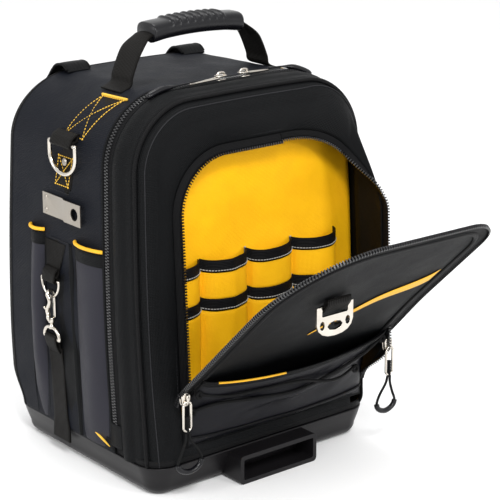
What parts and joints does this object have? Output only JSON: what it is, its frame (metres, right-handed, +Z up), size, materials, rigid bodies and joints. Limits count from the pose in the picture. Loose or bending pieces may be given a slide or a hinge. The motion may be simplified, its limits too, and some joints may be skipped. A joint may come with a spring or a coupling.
{
  "type": "tool backpack",
  "caption": "Upright black tool backpack on a moulded base tray, front pocket flap folded open over yellow tool loops, carry handle, side snap hook and padded shoulder straps.",
  "frame": {"origin": "centre of the base tray's underside, on the surface that the bag stands on", "axes": "+Z up, -Y towards the open front flap, +X towards the bag's left as worn facing away from the flap, the right side in the front view"},
  "size_m": [0.3488, 0.5353, 0.5034],
  "materials": {
    "black_cloth": "dense black ballistic nylon weave, dull sheen",
    "grey_cloth": "slate grey nylon with a slight gloss",
    "yellow_cloth": "bright amber nylon, soft creases",
    "webbing": "ribbed black webbing",
    "cord": "braided black cord",
    "rubber": "matte black rubber",
    "tray_plastic": "satin moulded black plastic with fine grain",
    "nickel": "nickel plated cast metal, satin to bright"
  },
  "bodies": {
    "bag": {"front_shell": "black_cloth", "rear_shell": "black_cloth", "main_zipper": "black_cloth", "loop_band_upper": "black_cloth", "loop_band_lower": "black_cloth", "front_flap": "black_cloth", "flap_zipper": "black_cloth", "flap_pocket": "black_cloth", "pocket_band_right": "black_cloth", "pocket_zipper_left": "black_cloth", "pocket_zipper_right": "black_cloth", "back_pad": "black_cloth", "shoulder_strap_left": "black_cloth", "shoulder_strap_right": "black_cloth", "side_pocket_front": "grey_cloth", "side_pocket_rear": "grey_cloth", "side_pocket_right": "grey_cloth", "organizer_panel": "yellow_cloth", "tool_loops_upper": "yellow_cloth", "tool_loops_lower": "yellow_cloth", "flap_pocket_piping": "yellow_cloth", "side_pocket_front_piping": "yellow_cloth", "side_pocket_rear_piping": "yellow_cloth", "handle_webbing": "webbing", "side_webbing_left": "webbing", "side_webbing_right": "webbing", "d_ring_loop": "webbing", "clip_webbing": "webbing", "hook_tab": "webbing", "lower_strap": "webbing", "accessory_loop": "webbing", "strap_webbing_left": "webbing", "strap_webbing_right": "webbing", "bungee_lower": "cord", "bungee_upper": "cord", "pull_cord_left": "cord", "pull_cord_right": "cord", "handle_grip": "rubber", "pull_sleeve_left": "rubber", "pull_sleeve_right": "rubber", "main_pull_tab_left": "rubber", "main_pull_tab_right": "rubber", "strap_buckle_left": "rubber", "strap_buckle_right": "rubber", "base_tray": "tray_plastic", "latch_frame": "tray_plastic", "belt_clip": "nickel", "hook_ring": "nickel", "snap_hook": "nickel", "pull_left": "nickel", "pull_right": "nickel", "main_pull_left": "nickel", "main_pull_right": "nickel"},
    "d_ring": {"d_ring": "nickel"},
    "accessory_ring": {"accessory_ring": "nickel"}
  },
  "joints": [
    {"name": "d_ring_swing", "type": "hinge", "parent": "bag", "child": "d_ring", "pos_m": [-0.16496, 0.01046, 0.3749], "axis": [0, 1, 0], "range_deg": [0, 140]},
    {"name": "accessory_ring_swing", "type": "hinge", "parent": "bag", "child": "accessory_ring", "pos_m": [-0.026, -0.27953, 0.23659], "axis": [1, 0, 0], "range_deg": [-100, 34]}
  ]
}
